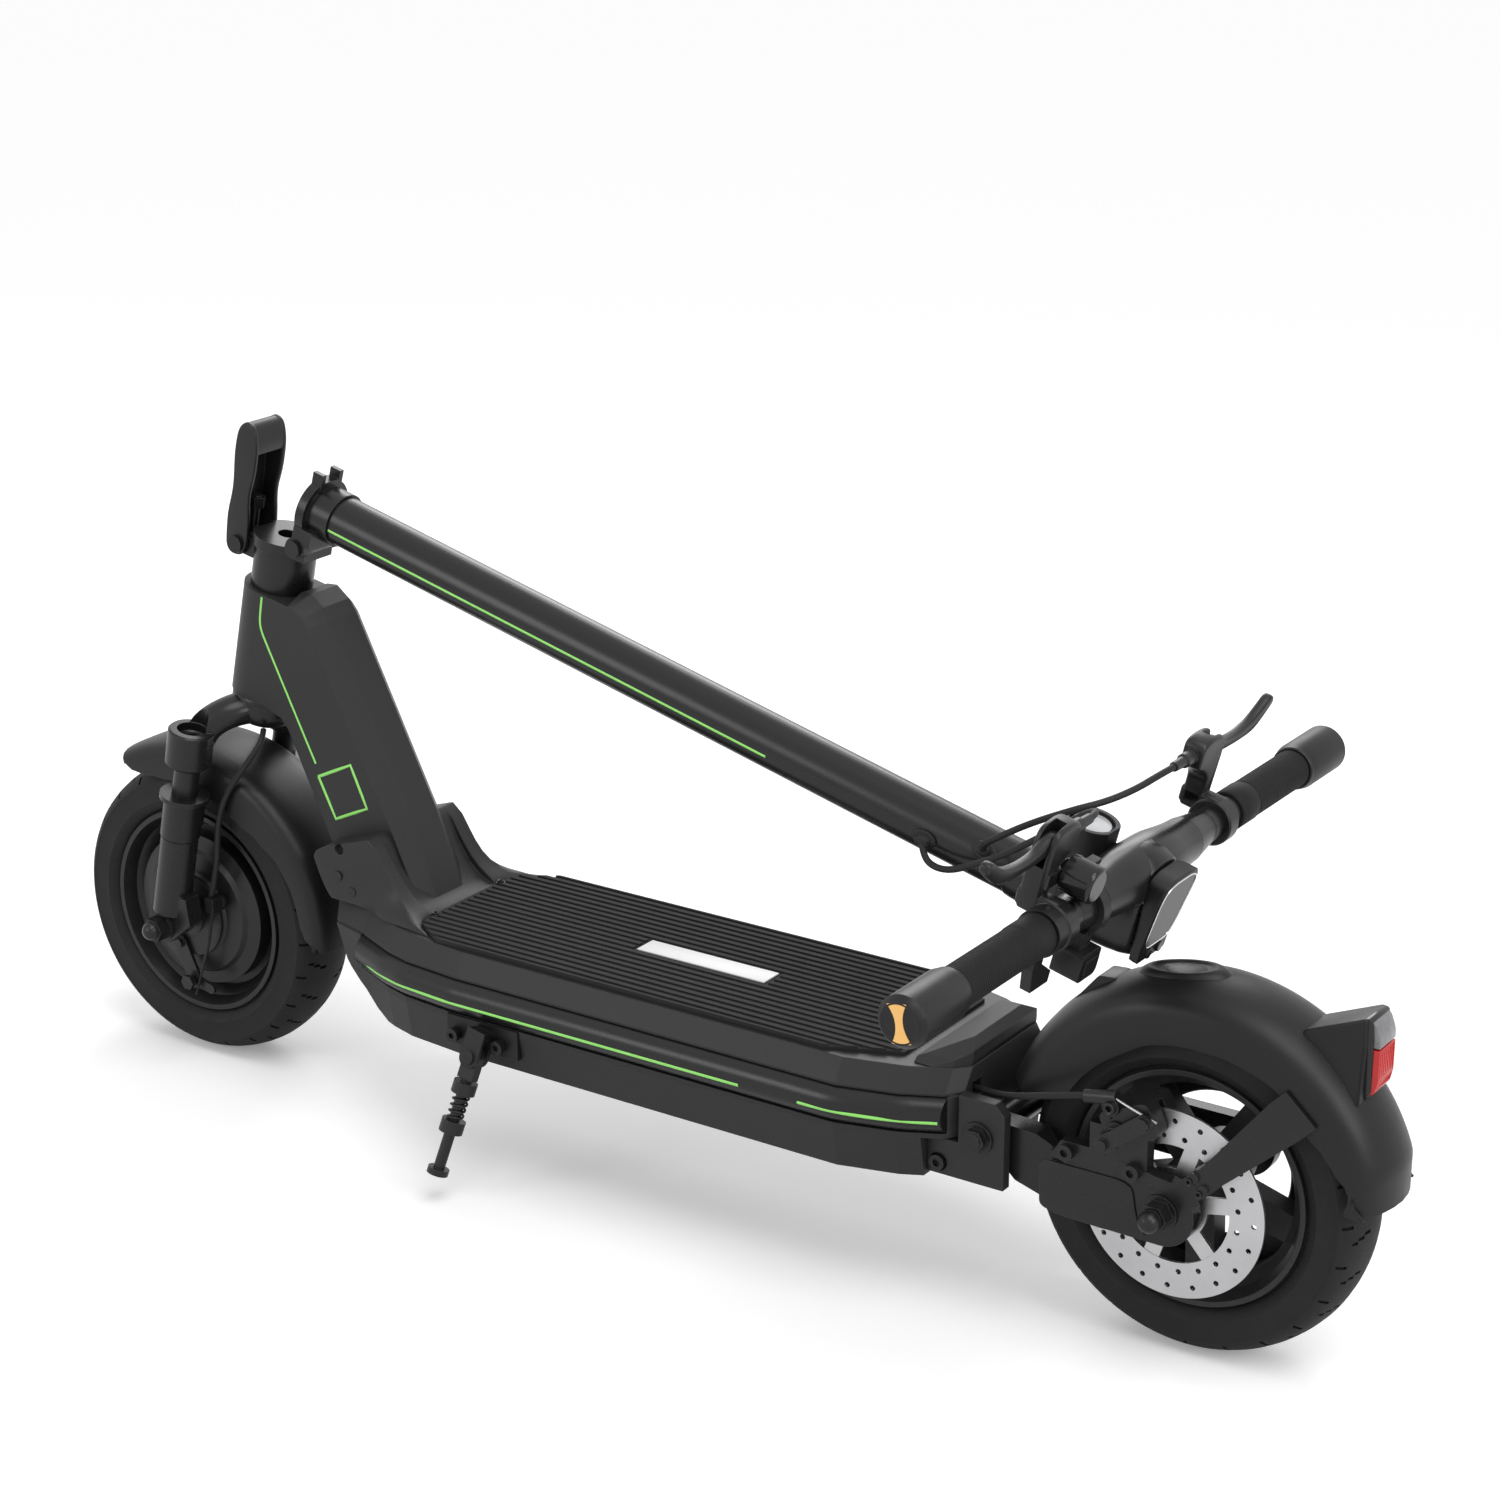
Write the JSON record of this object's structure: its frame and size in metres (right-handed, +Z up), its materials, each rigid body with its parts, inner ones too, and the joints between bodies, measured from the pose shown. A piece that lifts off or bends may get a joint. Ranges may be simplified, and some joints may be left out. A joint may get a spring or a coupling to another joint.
{
  "type": "electric kick scooter",
  "caption": "Folding electric kick scooter, stored folded: front hub motor, rear disc brake, suspension fork, swingarm, ribbed deck, sidestand, folding stem with handlebar and display.",
  "frame": {"origin": "on the ground, at the middle of the overall length and on the middle plane", "axes": "+X forward, +Y to the rider's left, +Z up"},
  "size_m": [1.198, 0.626, 0.5563],
  "materials": {
    "frame_paint": "satin powder coat",
    "black_plastic": "fine matt grain",
    "gloss_black": "gloss",
    "mat_rubber": "ribbed matt rubber",
    "grip_rubber": "ribbed rubber",
    "cable_rubber": "smooth sleeve",
    "tyre_rubber": "matt rubber",
    "black_alloy": "satin anodised",
    "bare_alloy": "cast, lightly machined",
    "black_steel": "black oxide",
    "steel": "brushed",
    "chrome": "polished",
    "stator_iron": "laminated",
    "red_lens": "clear red lens"
  },
  "bodies": {
    "frame": {"deck_tub": "frame_paint", "deck_cover": "frame_paint", "deck_mat": "mat_rubber", "side_rails": "black_plastic", "battery_and_controller": "black_plastic", "neck_beam": "frame_paint", "base_cover": "black_plastic", "frame_fasteners": "black_steel", "headset_bearings": "steel", "rear_block": "black_plastic", "rear_brackets": "frame_paint", "kickstand_housing": "black_alloy"},
    "kickstand": {"kickstand_leg": "black_steel", "kickstand_spring": "steel"},
    "swingarm": {"swingarm": "black_alloy", "rear_axle": "black_steel", "caliper_bracket": "black_alloy", "disc_caliper": "black_alloy", "rear_fender": "black_plastic", "fender_braces": "black_plastic", "tail_light": "red_lens", "rear_brake_cable": "cable_rubber"},
    "caliper_arm": {"caliper_arm": "black_steel"},
    "rear_wheel": {"rear_tyre": "tyre_rubber", "rear_rim": "black_alloy", "brake_rotor": "steel", "rear_bearings": "steel"},
    "fork": {"fork_crown": "black_alloy", "clamp_base": "black_alloy", "fold_hardware": "black_steel", "fork_stanchions": "chrome"},
    "fork_lowers": {"fork_lowers": "black_alloy", "front_fender": "black_plastic", "front_axle": "black_steel", "motor_stator": "stator_iron", "brake_backplate": "bare_alloy", "front_brake_cable": "cable_rubber"},
    "drum_brake_arm": {"drum_brake_arm": "black_steel"},
    "front_wheel": {"front_tyre": "tyre_rubber", "hub_motor": "black_alloy"},
    "stem": {"stem_tube": "frame_paint", "stem_hinge": "black_alloy", "bar_head": "black_alloy", "handlebar": "frame_paint", "grips": "grip_rubber", "bar_end_lights": "black_plastic", "headlight": "black_plastic", "display": "gloss_black", "lever_brackets": "black_alloy", "control_pod": "black_plastic", "bell": "black_steel", "stem_cables": "cable_rubber"},
    "fold_lever": {"fold_lever": "black_alloy"},
    "brake_lever_left": {"brake_lever_left": "black_alloy"},
    "brake_lever_right": {"brake_lever_right": "black_alloy"},
    "throttle": {"throttle": "black_plastic"},
    "signal_switch": {"signal_switch": "black_plastic"},
    "display_button_left": {"display_button_left": "black_plastic"},
    "display_button_right": {"display_button_right": "black_plastic"},
    "bell_striker": {"bell_striker": "black_steel"}
  },
  "joints": [
    {"name": "steering", "type": "hinge", "parent": "frame", "child": "fork", "pos_m": [0.37389, 0, 0.46406], "axis": [-0.2079, 0, 0.9781], "range_deg": [-45, 45]},
    {"name": "front_suspension", "type": "slide", "parent": "fork", "child": "fork_lowers", "axis": [-0.2079, 0, 0.9781], "range_m": [0, 0.016], "stiffness_N_per_m": 20000, "springref_m": -0.006},
    {"name": "front_wheel_spin", "type": "hinge", "parent": "fork_lowers", "child": "front_wheel", "pos_m": [0.4715, 0, 0.1275], "axis": [0, 1, 0], "continuous": true},
    {"name": "drum_brake_arm_turn", "type": "hinge", "parent": "fork_lowers", "child": "drum_brake_arm", "pos_m": [0.4805, 0, 0.1005], "axis": [0, 1, 0], "range_deg": [0, 8], "stiffness_Nm_per_rad": 0.5, "springref_deg": -11.46},
    {"name": "stem_fold", "type": "hinge", "parent": "fork", "child": "stem", "pos_m": [0.34518, 0, 0.46205], "axis": [0, 1, 0], "range_deg": [0, 92.7]},
    {"name": "fold_lever_turn", "type": "hinge", "parent": "fork", "child": "fold_lever", "pos_m": [0.41285, 0, 0.45394], "axis": [0, 1, 0], "range_deg": [0, 100]},
    {"name": "brake_lever_left_pull", "type": "hinge", "parent": "stem", "child": "brake_lever_left", "pos_m": [-0.38427, 0.116, 0.39732], "axis": [-0.9673, 0, -0.2538], "range_deg": [0, 14], "stiffness_Nm_per_rad": 0.8, "springref_deg": -11.46},
    {"name": "brake_lever_right_pull", "type": "hinge", "parent": "stem", "child": "brake_lever_right", "pos_m": [-0.38427, -0.116, 0.39732], "axis": [0.9673, 0, 0.2538], "range_deg": [0, 14], "stiffness_Nm_per_rad": 0.8, "springref_deg": -11.46},
    {"name": "throttle_push", "type": "hinge", "parent": "stem", "child": "throttle", "pos_m": [-0.3892, 0, 0.34124], "axis": [0, -1, 0], "range_deg": [0, 25], "stiffness_Nm_per_rad": 0.3, "springref_deg": -17.19},
    {"name": "signal_switch_rock", "type": "hinge", "parent": "stem", "child": "signal_switch", "pos_m": [-0.39554, 0.082, 0.30236], "axis": [-0.2538, 0, 0.9673], "range_deg": [-6, 6], "stiffness_Nm_per_rad": 0.05},
    {"name": "display_button_left_press", "type": "slide", "parent": "stem", "child": "display_button_left", "axis": [0.9673, 0, 0.2538], "range_m": [0, 0.0008], "stiffness_N_per_m": 400, "springref_m": -0.001},
    {"name": "display_button_right_press", "type": "slide", "parent": "stem", "child": "display_button_right", "axis": [0.9673, 0, 0.2538], "range_m": [0, 0.0008], "stiffness_N_per_m": 400, "springref_m": -0.001},
    {"name": "bell_striker_flick", "type": "hinge", "parent": "stem", "child": "bell_striker", "pos_m": [0.32019, 0.0805, 0.55732], "axis": [-0.9673, 0, -0.2538], "range_deg": [0, 25], "stiffness_Nm_per_rad": 0.05, "springref_deg": -11.46},
    {"name": "rear_suspension", "type": "hinge", "parent": "frame", "child": "swingarm", "pos_m": [-0.308, 0, 0.143], "axis": [0, 1, 0], "range_deg": [0, 2.5], "stiffness_Nm_per_rad": 900, "springref_deg": -1.15},
    {"name": "rear_wheel_spin", "type": "hinge", "parent": "swingarm", "child": "rear_wheel", "pos_m": [-0.4535, 0, 0.1275], "axis": [0, 1, 0], "continuous": true},
    {"name": "caliper_arm_turn", "type": "hinge", "parent": "swingarm", "child": "caliper_arm", "pos_m": [-0.412, 0, 0.171], "axis": [0, 1, 0], "range_deg": [0, 14], "stiffness_Nm_per_rad": 0.5, "springref_deg": -11.46},
    {"name": "kickstand_turn", "type": "hinge", "parent": "frame", "child": "kickstand", "pos_m": [0.111, 0.109, 0.115], "axis": [0, 0.9521, 0.3057], "range_deg": [0, 85]}
  ],
  "couplings": [
    {"joint": "drum_brake_arm_turn", "follows": "brake_lever_left_pull", "ratio": 0.5714},
    {"joint": "caliper_arm_turn", "follows": "brake_lever_right_pull", "ratio": 1}
  ]
}
